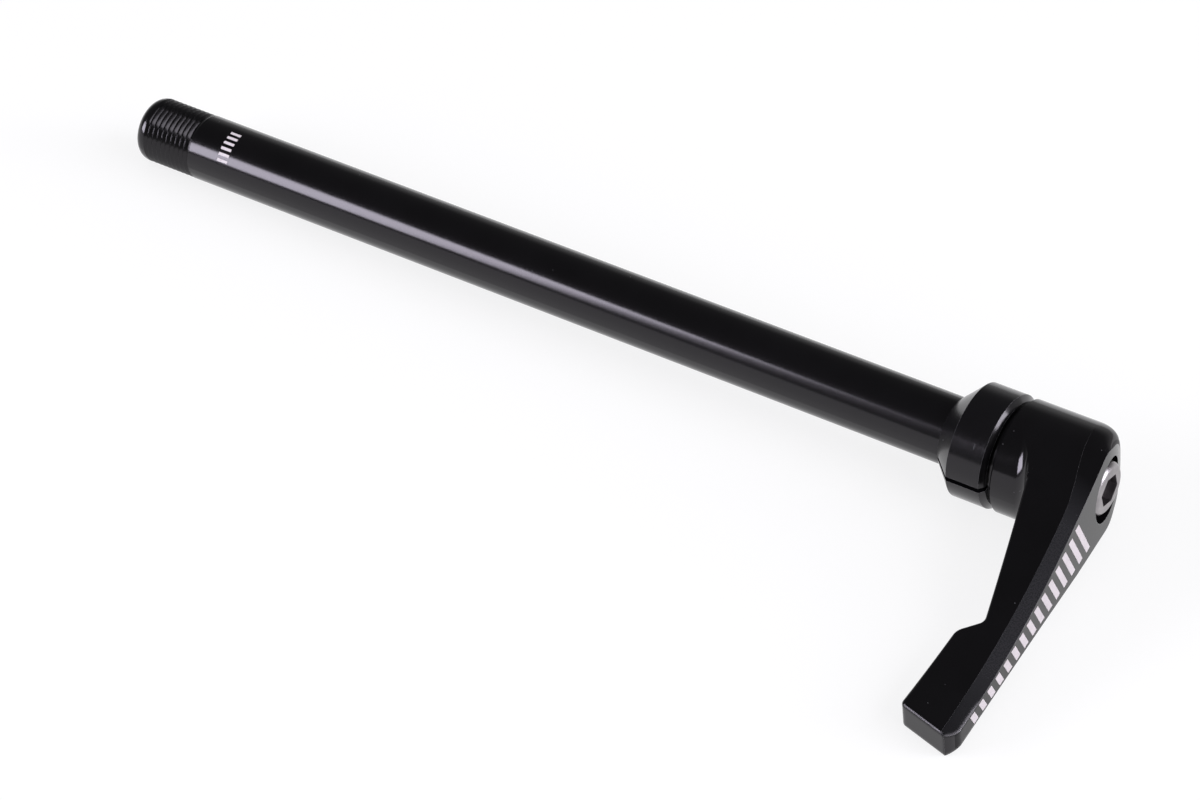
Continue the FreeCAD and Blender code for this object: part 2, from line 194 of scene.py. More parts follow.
# Camera fitted to the photograph, in mm
CAMERA_PLACE = (526.464, 274.845, 493.830)
CAMERA_RIGHT = (-0.540070, 0.841404, -0.019092)
CAMERA_UP = (-0.541073, -0.329743, 0.773634)
CAMERA_BACK = (0.644643, 0.428147, 0.633345)
CAMERA_LENS = 138.63
CAMERA_SENSOR = 36.0
CAMERA_CLIP = (0.01, 20.0)

# Floor: it touches the collar's rim and the thread's crests
FLOOR_HEIGHT = -10.12
FLOOR_FALL = -0.0245
FLOOR_TILT = 0.0056
FLOOR_RADIUS = 4.0
FLOOR_SIDES = 64
FLOOR_GLOW = 0.8

# Dim room: a pale wall behind the axle, and the sky's level by height
WALL_GLOW = 0.32
WALL_SIDE = (0.2, -0.6)
WALL_TOP = (0.2, 0.5)
SKY_HEIGHT = (-0.1, 0.9)
SKY_STOPS = ((0.0, 0.46), (0.10, 0.26), (0.16, 0.23), (0.45, 0.14), (1.0, 0.09))

# Light panels: where they face, and how far off they stand in metres
LIGHT_TARGET = (0.0, -72.0, 0.0)
LIGHT_DISTANCE = 1.7


def point(*values):
    """A point given in mm, in metres."""
    return Vector(values) * MM


def direction(azimuth, elevation):
    """The direction at that azimuth from +Y towards +X and that elevation, in degrees."""
    a = math.radians(azimuth)
    e = math.radians(elevation)
    return Vector((math.cos(e) * math.sin(a), math.cos(e) * math.cos(a), math.sin(e)))


def new_object(name, mesh):
    """A new object with that mesh, in the scene."""
    made = bpy.data.objects.new(name, mesh)
    bpy.context.scene.collection.objects.link(made)
    return made


def mesh_from(bm, name):
    """The mesh of a bmesh, with its normals turned outwards."""
    mesh = bpy.data.meshes.new(name)
    bmesh.ops.recalc_face_normals(bm, faces=bm.faces)
    bm.to_mesh(mesh)
    bm.free()
    return mesh


# Node helpers


def new_material(name):
    """A material with an empty node tree and its output node."""
    material = bpy.data.materials.new(name)
    material.use_nodes = True
    tree = material.node_tree
    tree.nodes.clear()
    output = tree.nodes.new("ShaderNodeOutputMaterial")
    return material, tree, output


def add_node(tree, kind, settings=None, **inputs):
    """A node with its settings, and with each named input linked or set."""
    node = tree.nodes.new(kind)
    for key, value in (settings or {}).items():
        setattr(node, key, value)
    for key, value in inputs.items():
        socket = node.inputs[key.replace("_", " ")]
        if isinstance(value, bpy.types.NodeSocket):
            tree.links.new(value, socket)
        else:
            socket.default_value = value
    return node


def noise(tree, vector, scale, detail=2.0, roughness=0.5):
    """The grey value of a noise at that scale."""
    node = add_node(tree, "ShaderNodeTexNoise", Vector=vector, Scale=scale)
    node.inputs["Detail"].default_value = detail
    node.inputs["Roughness"].default_value = roughness
    return node.outputs["Fac"]


def spread(tree, value, low, high, to_low, to_high):
    """A value mapped from one range to another, and held there."""
    node = add_node(tree, "ShaderNodeMapRange")
    tree.links.new(value, node.inputs["Value"])
    node.inputs["From Min"].default_value = low
    node.inputs["From Max"].default_value = high
    node.inputs["To Min"].default_value = to_low
    node.inputs["To Max"].default_value = to_high
    return node.outputs["Result"]


def math_node(tree, operation, first, second=0.0):
    """The result of one sum on two values."""
    node = tree.nodes.new("ShaderNodeMath")
    node.operation = operation
    for socket, value in zip(node.inputs, (first, second)):
        if isinstance(value, bpy.types.NodeSocket):
            tree.links.new(value, socket)
        else:
            socket.default_value = value
    return node.outputs["Value"]


def two_colours(tree, factor, first, second):
    """A colour between two, by a factor from 0 to 1."""
    node = add_node(tree, "ShaderNodeMix", {"data_type": "RGBA"})
    tree.links.new(factor, node.inputs["Factor"])
    for socket, value in ((node.inputs[6], first), (node.inputs[7], second)):
        if isinstance(value, bpy.types.NodeSocket):
            tree.links.new(value, socket)
        else:
            socket.default_value = (*value, 1.0)
    return node.outputs[2]


def object_place(tree, stretch=(1.0, 1.0, 1.0)):
    """The place on the object in its own frame, stretched along each axis."""
    place = tree.nodes.new("ShaderNodeTexCoord").outputs["Object"]
    mapping = add_node(tree, "ShaderNodeMapping", Vector=place, Scale=stretch)
    return mapping.outputs["Vector"]


def speck_mask(tree, scale, size, share):
    """1 on sparse round specks of about that size, and 0 elsewhere."""
    cells = add_node(tree, "ShaderNodeTexVoronoi", Vector=object_place(tree), Scale=scale)
    near = spread(tree, cells.outputs["Distance"], size * 0.5, size, 1.0, 0.0)
    chosen = add_node(tree, "ShaderNodeSeparateColor")
    tree.links.new(cells.outputs["Color"], chosen.inputs["Color"])
    kept = math_node(tree, "LESS_THAN", chosen.outputs["Red"], share)
    return math_node(tree, "MULTIPLY", near, kept)


# Materials


def edge_mask(tree, radius):
    """1 along sharp edges, within about that radius in mm, and 0 elsewhere."""
    rounded = add_node(tree, "ShaderNodeBevel", {"samples": 6}, Radius=radius * MM)
    plain = tree.nodes.new("ShaderNodeNewGeometry")
    agree = add_node(tree, "ShaderNodeVectorMath", {"operation": "DOT_PRODUCT"})
    tree.links.new(rounded.outputs["Normal"], agree.inputs[0])
    tree.links.new(plain.outputs["Normal"], agree.inputs[1])
    return spread(tree, agree.outputs["Value"], 0.94, 0.995, 1.0, 0.0)


def facing_mask(tree, low, high):
    """1 where the surface leans towards +Y by a share between the two, and 0 elsewhere."""
    normal = tree.nodes.new("ShaderNodeTexCoord").outputs["Normal"]
    lean = add_node(tree, "ShaderNodeSeparateXYZ", Vector=normal).outputs["Y"]
    above = math_node(tree, "GREATER_THAN", lean, low)
    below = math_node(tree, "LESS_THAN", lean, high)
    return math_node(tree, "MULTIPLY", above, below)


def along_axis(tree, axis):
    """The place on the object along one axis, in mm."""
    place = tree.nodes.new("ShaderNodeTexCoord").outputs["Object"]
    part = add_node(tree, "ShaderNodeSeparateXYZ", Vector=place).outputs[axis]
    return math_node(tree, "MULTIPLY", part, 1.0 / MM)


def spot_mask(tree, place, size):
    """1 in a small rounded spot at that place and of that size in mm, and 0 elsewhere."""
    spot = tree.nodes.new("ShaderNodeTexCoord").outputs["Object"]
    shift = [-value / width for value, width in zip(place, size)]
    stretch = [1.0 / (MM * width) for width in size]
    local = add_node(tree, "ShaderNodeMapping", Vector=spot, Location=shift, Scale=stretch)
    length = add_node(tree, "ShaderNodeVectorMath", {"operation": "LENGTH"})
    tree.links.new(local.outputs["Vector"], length.inputs[0])
    return spread(tree, length.outputs["Value"], 0.6, 1.0, 1.0, 0.0)


def bevel_mask(tree, low, high):
    """1 on the lever's bevels along its arm, fading towards its head and its tip."""
    along = along_axis(tree, "X")
    near = spread(tree, along, *BEVEL_NEAR, 0.0, 1.0)
    far = spread(tree, along, *BEVEL_FAR, 1.0, BEVEL_FAR_SHARE)
    reach = math_node(tree, "MULTIPLY", near, far)
    return math_node(tree, "MULTIPLY", facing_mask(tree, low, high), reach)


def soft_tip_normal(tree):
    """The surface's direction, with the edges at the lever's tip softened."""
    plain = tree.nodes.new("ShaderNodeNewGeometry").outputs["Normal"]
    rounded = add_node(tree, "ShaderNodeBevel", {"samples": 8}, Radius=TIP_ROUND * MM)
    mix = add_node(tree, "ShaderNodeMix", {"data_type": "VECTOR"})
    tree.links.new(spread(tree, along_axis(tree, "X"), *TIP_SOFT, 0.0, 1.0), mix.inputs["Factor"])
    tree.links.new(plain, mix.inputs[4])
    tree.links.new(rounded.outputs["Normal"], mix.inputs[5])
    return mix.outputs[1]


def black_anodised(
    name,
    dark,
    pale,
    gloss,
    grain_scale,
    grain_stretch,
    grain_depth,
    dust,
    edge=None,
    bevel=None,
    calm=None,
    scratch=None,
):
    """Black anodised aluminium: fine grain, dust specks, painted highlights along sharp edges, and
    rougher bevels lightened partly by painted reflection.
    """
    material, tree, output = new_material(name)
    grain = noise(tree, object_place(tree, grain_stretch), grain_scale, 2.0, 0.5)
    cloud = noise(tree, object_place(tree), CLOUD_SCALE, 3.0, 0.55)
    specks = speck_mask(tree, DUST_SCALE, DUST_SIZE, dust)
    colour = two_colours(tree, spread(tree, cloud, 0.3, 0.7, 0.0, 1.0), dark, pale)
    colour = two_colours(tree, specks, colour, DUST_COLOUR)
    rough = spread(tree, grain, 0.25, 0.75, *gloss)
    rough = math_node(tree, "ADD", rough, math_node(tree, "MULTIPLY", specks, DUST_ROUGHNESS))
    height = grain
    if bevel:
        strip = bevel_mask(tree, *bevel)
        sparkle = noise(tree, object_place(tree), SPARKLE_SCALE, 1.0, 0.5)
        # The bevels' lighter colour is partly their grainy tone and partly a painted reflection
        colour = two_colours(tree, strip, colour, BEVEL_TONE_AND_REFLECTION_COLOUR)
        rough = math_node(tree, "ADD", rough, math_node(tree, "MULTIPLY", strip, BEVEL_ROUGHNESS))
        strong = math_node(tree, "MULTIPLY", strip, sparkle)
        strong = math_node(tree, "MULTIPLY", strong, SPARKLE_DEPTH)
        height = math_node(tree, "ADD", grain, strong)
    if calm:
        begun = spread(tree, along_axis(tree, "Y"), *calm, 0.0, 1.0)
        height = math_node(tree, "MULTIPLY", height, begun)
    # Pale patches along sharp edges: a painted edge highlight
    if edge:
        patches = spread(tree, cloud, 0.2, 0.6, 0.4, 1.0)
        wear_and_edge_highlight = math_node(tree, "MULTIPLY", edge_mask(tree, edge), patches)
        if bevel:
            wear_and_edge_highlight = math_node(tree, "MULTIPLY", wear_and_edge_highlight, facing_mask(tree, *EDGE_HIGHLIGHT_LEAN))
        colour = two_colours(tree, wear_and_edge_highlight, colour, EDGE_HIGHLIGHT_COLOUR)
    if scratch:
        mark = spot_mask(tree, *scratch)
        colour = two_colours(tree, mark, colour, SCRATCH_COLOUR)
    bump = add_node(tree, "ShaderNodeBump", Strength=1.0, Distance=grain_depth * MM, Height=height)
    shader = add_node(tree, "ShaderNodeBsdfPrincipled")
    if bevel:
        tree.links.new(soft_tip_normal(tree), bump.inputs["Normal"])
        outer_face = facing_mask(tree, *FACE_LEAN)
        level = spread(tree, outer_face, 0.0, 1.0, SIDE_SPECULAR, FACE_SPECULAR)
        tree.links.new(level, shader.inputs["Specular IOR Level"])
    tree.links.new(colour, shader.inputs["Base Color"])
    tree.links.new(rough, shader.inputs["Roughness"])
    tree.links.new(bump.outputs["Normal"], shader.inputs["Normal"])
    shader.inputs["IOR"].default_value = ANODISED_IOR
    shader.inputs["Specular Tint"].default_value = ANODISED_TINT
    tree.links.new(shader.outputs["BSDF"], output.inputs["Surface"])
    return material


def shaft_finish():
    """The shaft's semi-gloss black, with grain drawn round it."""
    return black_anodised(
        "shaft_black_anodised",
        dark=(0.0026, 0.0025, 0.0028),
        pale=(0.0038, 0.0036, 0.0041),
        gloss=(0.13, 0.19),
        grain_scale=6000.0,
        grain_stretch=(0.4, 1.0, 0.4),
        grain_depth=0.0018,
        dust=0.02,
        calm=SHAFT_GRAIN_START,
    )


def collar_finish():
    """The collar's turned black, with painted highlights along its edges and one scratch."""
    return black_anodised(
        "collar_black_anodised",
        dark=(0.0034, 0.0033, 0.0037),
        pale=(0.0052, 0.0050, 0.0057),
        gloss=(0.13, 0.20),
        grain_scale=5200.0,
        grain_stretch=(0.25, 1.0, 0.25),
        grain_depth=0.0010,
        dust=0.04,
        edge=0.06,
        scratch=(COLLAR_SCRATCH, COLLAR_SCRATCH_SIZE),
    )


def lever_finish():
    """The lever's glossy black, with painted highlights along its edges, and grainy bevels lightened
    partly by painted reflection.
    """
    return black_anodised(
        "lever_black_anodised",
        dark=(0.0026, 0.0025, 0.0028),
        pale=(0.0038, 0.0036, 0.0041),
        gloss=(0.09, 0.14),
        grain_scale=3800.0,
        grain_stretch=(1.0, 1.0, 1.0),
        grain_depth=0.0006,
        dust=0.10,
        edge=0.14,
        bevel=BEVEL_LEAN,
    )


def satin_steel(name):
    """Satin stainless steel with fine grain, uneven tone and softened edges."""
    material, tree, output = new_material(name)
    grain = noise(tree, object_place(tree, (1.0, 0.15, 1.0)), 3500.0, 3.0, 0.6)
    cloud = noise(tree, object_place(tree), 420.0, 3.0, 0.6)
    tone = spread(tree, cloud, 0.3, 0.7, 0.0, 1.0)
    colour = two_colours(tree, tone, STEEL_DARK, STEEL_PALE)
    rounded = add_node(tree, "ShaderNodeBevel", {"samples": 4}, Radius=0.15 * MM)
    bump = add_node(tree, "ShaderNodeBump", Strength=0.08, Distance=0.01 * MM, Height=grain)
    tree.links.new(rounded.outputs["Normal"], bump.inputs["Normal"])
    shader = add_node(tree, "ShaderNodeBsdfPrincipled")
    tree.links.new(colour, shader.inputs["Base Color"])
    tree.links.new(spread(tree, grain, 0.25, 0.75, 0.26, 0.40), shader.inputs["Roughness"])
    tree.links.new(bump.outputs["Normal"], shader.inputs["Normal"])
    shader.inputs["Metallic"].default_value = 1.0
    tree.links.new(shader.outputs["BSDF"], output.inputs["Surface"])
    return material


def pale_print(name):
    """Thin pale print, a little rubbed through in fine grains."""
    material, tree, output = new_material(name)
    grain = noise(tree, object_place(tree), 5200.0, 2.0, 0.6)
    cloud = noise(tree, object_place(tree), 300.0, 2.0, 0.5)
    tone = two_colours(tree, cloud, PRINT_DARK, PRINT_PALE)
    wear_and_edge_highlight = spread(tree, grain, 0.66, 0.74, 0.0, 1.0)
    colour = two_colours(tree, wear_and_edge_highlight, tone, PRINT_WORN)
    shader = add_node(tree, "ShaderNodeBsdfPrincipled")
    tree.links.new(colour, shader.inputs["Base Color"])
    tree.links.new(spread(tree, grain, 0.3, 0.7, 0.38, 0.55), shader.inputs["Roughness"])
    tree.links.new(shader.outputs["BSDF"], output.inputs["Surface"])
    return material


def floor_finish(name):
    """Pale floor: white to the eye and in reflections, and it keeps a soft shadow."""
    material, tree, output = new_material(name)
    path = tree.nodes.new("ShaderNodeLightPath")
    seen = math_node(tree, "ADD", path.outputs["Is Camera Ray"], path.outputs["Is Glossy Ray"])
    seen = math_node(tree, "ADD", seen, path.outputs["Is Transmission Ray"])
    glow = add_node(tree, "ShaderNodeEmission")
    tree.links.new(math_node(tree, "MULTIPLY", seen, FLOOR_GLOW), glow.inputs["Strength"])
    cloud = noise(tree, object_place(tree), 3.0, 2.0, 0.5)
    colour = two_colours(tree, cloud, FLOOR_DARK, FLOOR_PALE)
    matt = add_node(tree, "ShaderNodeBsdfDiffuse")
    tree.links.new(colour, matt.inputs["Color"])
    both = tree.nodes.new("ShaderNodeAddShader")
    tree.links.new(glow.outputs["Emission"], both.inputs[0])
    tree.links.new(matt.outputs["BSDF"], both.inputs[1])
    tree.links.new(both.outputs["Shader"], output.inputs["Surface"])
    return material


def panel_finish(name, colour, strength):
    """The even glow of a light panel."""
    material, tree, output = new_material(name)
    glow = add_node(tree, "ShaderNodeEmission", Color=(*colour, 1.0), Strength=strength)
    tree.links.new(glow.outputs["Emission"], output.inputs["Surface"])
    return material


# Pieces


def thread_radius(share, along):
    """Radius of the thread at a share of its depth, fading out at both ends."""
    ends = min(along - THREAD_START, THREAD_END - along) / THREAD_FADE
    fade = max(0.0, min(1.0, ends))
    return THREAD_CREST - THREAD_DEPTH * share * fade


def is_plain_thread(face):
    """True for a face of the CAD model's plain stand-in for the thread, with its relief groove."""
    for vertex in face.verts:
        radius = math.hypot(vertex.co.x, vertex.co.z) / MM
        along = vertex.co.y / MM
        outside = radius > RELIEF_RADIUS - PLACE_SLACK
        in_reach = THREAD_START - PLACE_SLACK < along < THREAD_END + PLACE_SLACK
        if not (outside and in_reach):
            return False
    return True


def round_axle(radius, along, angle):
    """A point at that radius round the axle and that place along it, in mm, in metres."""
    return point(radius * math.sin(angle), along, radius * math.cos(angle))


def add_thread(bm):
    """A right-handed helical thread surface on the tip, as columns of vertices round the axle."""
    turns = math.ceil((THREAD_END - THREAD_START) / THREAD_PITCH) + 1
    columns = []
    for i in range(THREAD_COLUMNS + 1):
        turn = i / THREAD_COLUMNS
        angle = turn * math.tau
        column = []
        for k in range(-1, turns):
            for share, depth in THREAD_PROFILE:
                along = THREAD_START + THREAD_PITCH * (k + share + turn)
                along = max(THREAD_START, min(THREAD_END, along))
                column.append(bm.verts.new(round_axle(thread_radius(depth, along), along, angle)))
        column.append(bm.verts.new(round_axle(SHAFT_RADIUS, THREAD_END, angle)))
        columns.append(column)
    for left, right in zip(columns, columns[1:]):
        for j in range(len(left) - 1):
            corners = (left[j], right[j], right[j + 1], left[j + 1])
            face = bm.faces.new(corners)
            face.smooth = True
    made = [vertex for column in columns for vertex in column]
    bmesh.ops.remove_doubles(bm, verts=made, dist=SAME_PLACE)


def threaded_shaft(node):
    """The CAD shaft with its plain thread stretch cut as a real helix."""
    bm = bmesh.new()
    bm.from_mesh(node.data)
    plain = [face for face in bm.faces if is_plain_thread(face)]
    bmesh.ops.delete(bm, geom=plain, context="FACES")
    add_thread(bm)
    mesh = node.data.copy()
    bm.to_mesh(mesh)
    bm.free()
    shaft = new_object("axle_shaft_threaded", mesh)
    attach(shaft, "axle")
    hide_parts("axle_shaft")
    return shaft


def add_slab(bm, tops, bottoms):
    """A closed thin slab between two grids of points; gives back its top faces and all its faces."""
    upper = [[bm.verts.new(p) for p in row] for row in tops]
    lower = [[bm.verts.new(p) for p in row] for row in bottoms]
    rows = len(upper)
    across = len(upper[0])
    outer = []
    rest = []
    for i in range(rows - 1):
        for j in range(across - 1):
            above = (upper[i][j], upper[i][j + 1], upper[i + 1][j + 1], upper[i + 1][j])
            below = (lower[i][j], lower[i + 1][j], lower[i + 1][j + 1], lower[i][j + 1])
            outer.append(bm.faces.new(above))
            rest.append(bm.faces.new(below))
    ring = [(0, j) for j in range(across - 1)]
    ring += [(i, across - 1) for i in range(rows - 1)]
    ring += [(rows - 1, j) for j in range(across - 1, 0, -1)]
    ring += [(i, 0) for i in range(rows - 1, 0, -1)]
    for (i, j), (m, n) in zip(ring, ring[1:] + ring[:1]):
        rest.append(bm.faces.new((upper[i][j], lower[i][j], lower[m][n], upper[m][n])))
    return outer, outer + rest


def arm_half_width(along):
    """Half the width of the lever's arm at that distance from the axis, in mm."""
    centre, offset = PLAN_CENTRE
    return offset - math.sqrt(PLAN_RADIUS ** 2 - (along - centre) ** 2)


def arm_angle(radius):
    """Angle from the lever's middle line at which a circle round the axle leaves the arm."""
    low = 0.0
    high = math.pi / 2
    for _ in range(ARM_ANGLE_STEPS):
        middle = (low + high) / 2
        if radius * math.sin(middle) < arm_half_width(radius * math.cos(middle)):
            low = middle
        else:
            high = middle
    return low


def lever_point(along, across, height):
    """A point given in mm along and across the lever and along the axle, in metres."""
    return (LEVER_ALONG * along + LEVER_ACROSS * across + OUTWARDS * height) * MM


def lever_place(place):
    """Distances in mm along and across the lever and along the axle, of a point in metres."""
    return place.dot(LEVER_ALONG) / MM, place.dot(LEVER_ACROSS) / MM, place.y / MM


def lever_way(along, across, height):
    """The unit direction with those parts along and across the lever and along the axle."""
    return (LEVER_ALONG * along + LEVER_ACROSS * across + OUTWARDS * height).normalized()


def root_section(angle):
    """The lean and the lowest height of the hollow blend at an angle from the lever's middle line."""
    slope = NECK_SLOPE * math.cos(angle)
    lean = math.atan(slope)
    out_radius = HEAD_RADIUS + ROOT_ROUND * (1.0 - math.sin(lean))
    low = NECK_HEIGHT + slope * out_radius - ROOT_ROUND * math.cos(lean)
    return lean, low


def add_root_blend(bm, kept):
    """The hollow blend round the front of the head, flush with the arm's sides."""
    tops = []
    bottoms = []
    for i in range(ROOT_STEPS + 1):
        tops.append([])
        bottoms.append([])
        for j in range(ROOT_COLUMNS + 1):
            share = ROOT_INSET * (2.0 * j / ROOT_COLUMNS - 1.0)
            angle = arm_angle(HEAD_RADIUS) * share
            for _ in range(ROOT_PASSES):
                lean, low = root_section(angle)
                turn = (math.pi / 2 - lean) * i / ROOT_STEPS
                radius = HEAD_RADIUS + ROOT_ROUND * (1.0 - math.cos(turn))
                angle = arm_angle(radius) * share
            along = radius * math.cos(angle)
            across = radius * math.sin(angle)
            tops[-1].append(lever_point(along, across, low + ROOT_ROUND * math.sin(turn)))
            bottoms[-1].append(lever_point(along, across, NECK_HEIGHT + NECK_SLOPE * along + ROOT_DEPTH))
    outer, made = add_slab(bm, tops, bottoms)
    bmesh.ops.recalc_face_normals(bm, faces=made)
    for face in made:
        for loop in face.loops:
            loop[kept] = face.normal
    for face in outer:
        for loop in face.loops:
            along, across, height = lever_place(loop.vert.co)
            angle = math.atan2(across, along)
            low = root_section(angle)[1]
            away = HEAD_RADIUS + ROOT_ROUND - math.hypot(along, across)
            loop[kept] = lever_way(away * math.cos(angle), away * math.sin(angle), low - height)


def outer_curve(along):
    """Height in mm and slope of the lever's outer face at that distance from the axis."""
    on_crown = along < 0.0
    centre, level = CROWN_CENTRE if on_crown else FACE_CENTRE
    bow = CROWN_RADIUS if on_crown else FACE_RADIUS
    rise = math.sqrt(bow ** 2 - (along - centre) ** 2)
    return level + rise, (centre - along) / rise


def side_of(along, across):
    """How far a place lies inside the lever's side, and the way out of that side, in plan."""
    place = Vector((along, abs(across)))
    centre = Vector(PLAN_CENTRE)
    if math.atan2(place.y, place.x) > math.atan2(centre.y, centre.x):
        inset = HEAD_RADIUS - place.length
        out = place.normalized()
    else:
        inset = (centre - place).length - PLAN_RADIUS
        out = (centre - place).normalized()
    return inset, Vector((out.x, math.copysign(out.y, across)))


def fade_out(along, fade):
    """1 below the fade's start, falling smoothly to 0 at its end."""
    share = (fade[1] - along) / (fade[1] - fade[0])
    share = max(0.0, min(1.0, share))
    return share * share * (3.0 - 2.0 * share)


def rim_size(along):
    """How far the rim reaches down the side and across the face there, in mm, and how round it is."""
    wide = fade_out(along, RIM_FADE)
    roundness = fade_out(along, ROUND_FADE)
    down = BEVEL_DOWN + (RIM_DOWN - BEVEL_DOWN) * wide
    flat = FACE_BEVEL * down / BEVEL_DOWN
    return down, flat + (RIM_ACROSS - flat) * roundness, roundness


def rounded_rim(along, across, height):
    """The new rim's point and direction for a point of the bevel, and its start along the lever."""
    inset, out = side_of(along, across)
    base = Vector((along, across)) + out * inset
    inside = max(0.0, inset - RIM_SLACK) / FACE_BEVEL
    below = max(0.0, outer_curve(along)[0] - height - RIM_SLACK) / BEVEL_DOWN
    share = inside / (inside + below)
    down, across_face, roundness = rim_size(base.x)
    top_height, top_slope = outer_curve(base.x - out.x * across_face)
    fall = top_slope * out.x * across_face
    low_height = outer_curve(base.x)[0] - down
    corner_height = top_height + fall
    rest = 1.0 - share
    flat_height = rest * low_height + share * top_height
    round_height = rest * rest * low_height + share * share * top_height
    round_height += 2.0 * share * rest * corner_height
    climb = rest * (corner_height - low_height) - share * fall
    flat_way = Vector((top_height - low_height, across_face)).normalized()
    round_way = Vector((climb, share * across_face)).normalized()
    way = flat_way.lerp(round_way, roundness)
    height = flat_height + (round_height - flat_height) * roundness
    place = base - out * across_face * share * (1.0 - rest * roundness)
    rim_way = lever_way(out.x * way.x, out.y * way.x, way.y)
    return lever_point(place.x, place.y, height), rim_way, base.x


def is_bevel(face, kept):
    """True for a face of the bevel round the lever's outer face, near its head."""
    for loop in face.loops:
        along, across, height = lever_place(loop.vert.co)
        if along > RIM_FADE[1] + RIM_SPARE:
            return False
        if not BEVEL_LEAN[0] < loop[kept].y < BEVEL_LEAN[1]:
            return False
        if side_of(along, across)[0] > BEVEL_INSET_MOST:
            return False
        if outer_curve(along)[0] - height > BEVEL_DOWN_MOST:
            return False
    return True


def moved_beside_rim(vertex):
    """The new place of a vertex on the side or the outer face beside the rounded rim."""
    along, across, height = lever_place(vertex.co)
    if along > RIM_FADE[1]:
        return vertex.co
    inset, out = side_of(along, across)
    base = Vector((along, across)) + out * inset
    down, across_face, _ = rim_size(base.x)
    weight = fade_out(base.x, RIM_JOIN)
    top = outer_curve(base.x)[0]
    on_side = abs(inset) < ON_SURFACE and abs(top - BEVEL_DOWN - height) < BESIDE_RIM
    near_rim = FACE_BEVEL - BESIDE_RIM < inset < RIM_INNER
    if on_side:
        low = lever_point(base.x, base.y, top - down)
        return vertex.co.lerp(low, weight)
    if near_rim and abs(outer_curve(along)[0] - height) < ON_SURFACE:
        squeeze = (RIM_INNER - across_face) / (RIM_INNER - FACE_BEVEL)
        new_inset = across_face + max(0.0, inset - FACE_BEVEL) * squeeze
        place = base - out * (inset + (new_inset - inset) * weight)
        return lever_point(place.x, place.y, outer_curve(place.x)[0])
    return vertex.co


def edge_place(edge):
    """The two ends of an edge, which edges of neighbouring faces share."""
    return frozenset(tuple(round(part / MM, 3) for part in vertex.co) for vertex in edge.verts)


def round_rim(bm, kept):
    """Rounds the bevel round the head, and draws the faces beside it back to meet it."""
    bevel = [face for face in bm.faces if is_bevel(face, kept)]
    places = {edge_place(edge) for face in bevel for edge in face.edges}
    edges = [edge for edge in bm.edges if edge_place(edge) in places]
    bmesh.ops.subdivide_edges(bm, edges=edges, cuts=RIM_CUTS, use_grid_fill=True)
    bevel = {face for face in bm.faces if is_bevel(face, kept)}
    new_places = {}
    for face in bevel:
        for loop in face.loops:
            along, across, height = lever_place(loop.vert.co)
            place, way, start = rounded_rim(along, across, height)
            weight = fade_out(start, RIM_JOIN)
            new_places[loop.vert] = loop.vert.co.lerp(place, weight)
            loop[kept] = loop[kept].lerp(way, weight).normalized()
    for vertex in bm.verts:
        if vertex not in new_places:
            new_places[vertex] = moved_beside_rim(vertex)
    for vertex, place in new_places.items():
        vertex.co = place


def finished_lever(node):
    """The CAD lever with its head's outer rim rounded and a deeper blend at the arm's root."""
    bm = bmesh.new()
    bm.from_mesh(node.data)
    kept = bm.loops.layers.float_vector.new("kept_normal")
    for polygon, face in zip(node.data.polygons, bm.faces):
        for i, loop in enumerate(face.loops):
            loop[kept] = node.data.corner_normals[polygon.loop_start + i].vector
    round_rim(bm, kept)
    add_root_blend(bm, kept)
    mesh = bpy.data.meshes.new("lever_finished")
    normals = [loop[kept].normalized() for face in bm.faces for loop in face.loops]
    bm.loops.layers.float_vector.remove(kept)
    bm.to_mesh(mesh)
    bm.free()
    mesh.shade_smooth()
    mesh.normals_split_custom_set(normals)
    lever = new_object("lever_finished", mesh)
    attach(lever, "axle")
    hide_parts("lever")
    return lever


def face_half_width(along):
    """Half the width of the lever's flat outer face at that distance from the axis, in mm."""
    return arm_half_width(along) - FACE_BEVEL


def lever_print(lever):
    """A row of even slanted bars printed along the lever's outer face."""
    tree = BVHTree.FromObject(lever, bpy.context.evaluated_depsgraph_get())
    step = (BAR_LAST - BAR_FIRST) / (BAR_COUNT - 1)
    bm = bmesh.new()
    for k in range(BAR_COUNT):
        middle = BAR_FIRST + k * step
        half = face_half_width(middle) * BAR_SPAN_SHARE
        tops = []
        bottoms = []
        for i in range(BAR_ROWS + 1):
            across = half * (2 * i / BAR_ROWS - 1)
            tops.append([])
            bottoms.append([])
            for j in range(BAR_COLUMNS + 1):
                beside = step * BAR_WIDTH_SHARE * (j / BAR_COLUMNS - 0.5)
                along = middle + across * BAR_SLANT + beside
                start = lever_point(along, across, 0.0) + OUTWARDS * RAY_START
                hit = tree.ray_cast(start, -OUTWARDS)[0]
                tops[-1].append(hit + OUTWARDS * PRINT_HEIGHT * MM)
                bottoms[-1].append(hit - OUTWARDS * PRINT_DEPTH * MM)
        add_slab(bm, tops, bottoms)
    made = new_object("lever_print", mesh_from(bm, "lever_print"))
    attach(made, "axle")
    return made


def shaft_print():
    """A short row of plain ticks printed round the shaft beside the thread."""
    step = (TICK_LAST_ANGLE - TICK_FIRST_ANGLE) / (TICK_COUNT - 1)
    bm = bmesh.new()
    for k in range(TICK_COUNT):
        middle = TICK_FIRST_ANGLE + k * step
        grids = []
        for radius in (SHAFT_RADIUS + PRINT_HEIGHT, SHAFT_RADIUS - PRINT_DEPTH):
            grid = []
            for y in TICK_Y:
                row = []
                for j in range(TICK_COLUMNS + 1):
                    angle = math.radians(middle + TICK_ANGLE * (j / TICK_COLUMNS - 0.5))
                    row.append(point(radius * math.cos(angle), y, radius * math.sin(angle)))
                grid.append(row)
            grids.append(grid)
        add_slab(bm, *grids)
    made = new_object("shaft_print", mesh_from(bm, "shaft_print"))
    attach(made, "axle")
    return made


def dress(piece, material):
    """Gives a piece one material and nothing else."""
    piece.data.materials.clear()
    piece.data.materials.append(material)


# Stage


